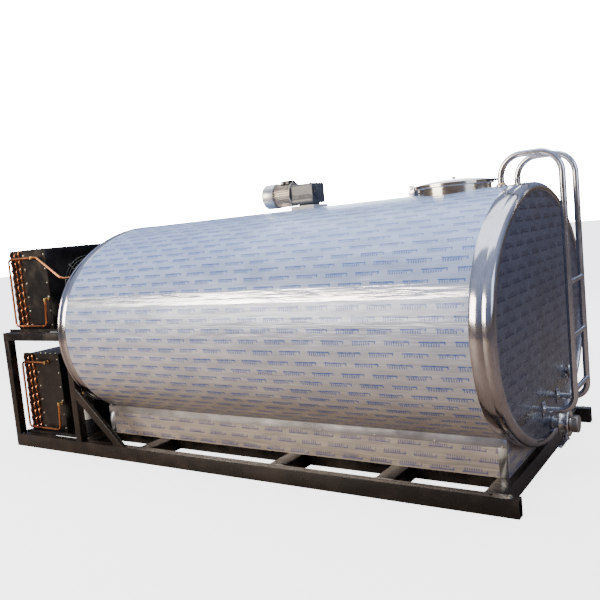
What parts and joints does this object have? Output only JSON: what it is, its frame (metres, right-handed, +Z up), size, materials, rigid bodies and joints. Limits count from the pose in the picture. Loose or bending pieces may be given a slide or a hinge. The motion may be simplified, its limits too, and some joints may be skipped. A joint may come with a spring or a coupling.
{
  "type": "bulk milk tank",
  "caption": "Oval insulated milk cooling tank on a black steel skid, with manway, agitator drive, ladder, outlet valve and stacked condensing units on a rack at one end.",
  "frame": {"origin": "on the floor, under the middle of the whole machine's length and width", "axes": "+X along the tank from the condensing units to the ladder end, +Y to the far side, +Z up"},
  "size_m": [4.29, 2.0056, 1.898],
  "materials": {
    "film_clad_steel": "satin",
    "polished_steel": "polished",
    "brushed_stainless": "satin",
    "black_paint": "gloss",
    "foam": "matte",
    "white_casting": "satin",
    "gear_paint": "satin",
    "cast_aluminium": "satin",
    "zinc_steel": "satin",
    "rubber": "matte",
    "copper": "satin",
    "fin_stock": "satin",
    "steel_shaft": "satin",
    "bronze": "satin",
    "black_plastic": "gloss",
    "glass": "clear",
    "red_plastic": "gloss",
    "grey_enamel": "satin"
  },
  "bodies": {
    "root": {"skid_rails": "black_paint", "skid_cross_members": "black_paint", "tank_saddles": "black_paint", "skirt_panels": "film_clad_steel", "skirt_trim": "polished_steel", "outer_shell": "film_clad_steel", "front_rim": "polished_steel", "rear_rim": "polished_steel", "front_end_plate": "film_clad_steel", "rear_end_plate": "film_clad_steel", "insulation": "foam", "inner_vessel": "brushed_stainless", "evaporator_jacket": "brushed_stainless", "manway_neck": "polished_steel", "manway_gasket": "rubber", "lid_hinge_bracket": "polished_steel", "lid_hinge_pin": "zinc_steel", "agitator_nozzle": "white_casting", "nozzle_bolts": "zinc_steel", "gearbox_housing": "gear_paint", "gearbox_cover": "gear_paint", "motor_frame": "cast_aluminium", "fan_cowl": "cast_aluminium", "terminal_box": "gear_paint", "shaft_seal": "rubber", "ladder_rails": "polished_steel", "ladder_rungs": "polished_steel", "ladder_mounts": "polished_steel", "outlet_pipe": "polished_steel", "outlet_boss": "polished_steel", "valve_body": "brushed_stainless", "thermometer_case": "polished_steel", "thermometer_glass": "glass", "unit_frame": "black_paint", "unit_trays": "black_paint", "condenser_coils": "fin_stock", "coil_return_bends": "copper", "fan_shrouds": "black_paint", "fan_motors": "black_paint", "compressors": "black_paint", "liquid_receivers": "grey_enamel", "copper_pipes": "copper", "control_box": "grey_enamel"},
    "lid": {"manway_lid": "polished_steel", "lid_handle": "polished_steel", "lid_vent": "polished_steel"},
    "motor_rotor": {"motor_rotor": "steel_shaft", "motor_fan": "black_plastic"},
    "agitator": {"worm_wheel": "bronze", "agitator_shaft": "brushed_stainless", "agitator_blades": "brushed_stainless"},
    "valve_spindle": {"valve_disc": "brushed_stainless", "valve_lever": "brushed_stainless"},
    "outlet_cap": {"outlet_cap": "brushed_stainless"},
    "thermometer_needle": {"thermometer_needle": "red_plastic"},
    "upper_near_fan": {"upper_near_fan": "black_plastic"},
    "upper_far_fan": {"upper_far_fan": "black_plastic"},
    "lower_near_fan": {"lower_near_fan": "black_plastic"},
    "lower_far_fan": {"lower_far_fan": "black_plastic"},
    "control_door": {"control_door": "grey_enamel"}
  },
  "joints": [
    {"name": "lid_hinge", "type": "hinge", "parent": "root", "child": "lid", "pos_m": [1.167, 0, 1.7383], "axis": [0, -1, 0], "range_deg": [0, 100]},
    {"name": "motor_spin", "type": "hinge", "parent": "root", "child": "motor_rotor", "pos_m": [0.2, -0.05, 1.8], "axis": [1, 0, 0], "continuous": true},
    {"name": "agitator_spin", "type": "hinge", "parent": "root", "child": "agitator", "pos_m": [0.355, 0, 1], "axis": [0, 0, 1], "continuous": true},
    {"name": "valve_turn", "type": "hinge", "parent": "root", "child": "valve_spindle", "pos_m": [2.025, 0, 0.2425], "axis": [0, 0, 1], "range_deg": [0, 90]},
    {"name": "cap_turn", "type": "hinge", "parent": "root", "child": "outlet_cap", "pos_m": [2.08, 0, 0.2425], "axis": [1, 0, 0], "continuous": true},
    {"name": "needle_turn", "type": "hinge", "parent": "root", "child": "thermometer_needle", "pos_m": [1.966, 0.45, 0.458], "axis": [1, 0, 0], "range_deg": [-135, 135], "stiffness_Nm_per_rad": 0.02},
    {"name": "door_hinge", "type": "hinge", "parent": "root", "child": "control_door", "pos_m": [-1.901, 0.981, 0.75], "axis": [0, 0, 1], "range_deg": [0, 110]},
    {"name": "lower_near_fan_spin", "type": "hinge", "parent": "root", "child": "lower_near_fan", "pos_m": [-1.667, -0.39, 0.429], "axis": [1, 0, 0], "continuous": true},
    {"name": "lower_far_fan_spin", "type": "hinge", "parent": "root", "child": "lower_far_fan", "pos_m": [-1.667, 0.39, 0.429], "axis": [1, 0, 0], "continuous": true},
    {"name": "upper_near_fan_spin", "type": "hinge", "parent": "root", "child": "upper_near_fan", "pos_m": [-1.667, -0.39, 1.269], "axis": [1, 0, 0], "continuous": true},
    {"name": "upper_far_fan_spin", "type": "hinge", "parent": "root", "child": "upper_far_fan", "pos_m": [-1.667, 0.39, 1.269], "axis": [1, 0, 0], "continuous": true}
  ],
  "couplings": [
    {"joint": "agitator_spin", "follows": "motor_spin", "ratio": -0.025}
  ]
}
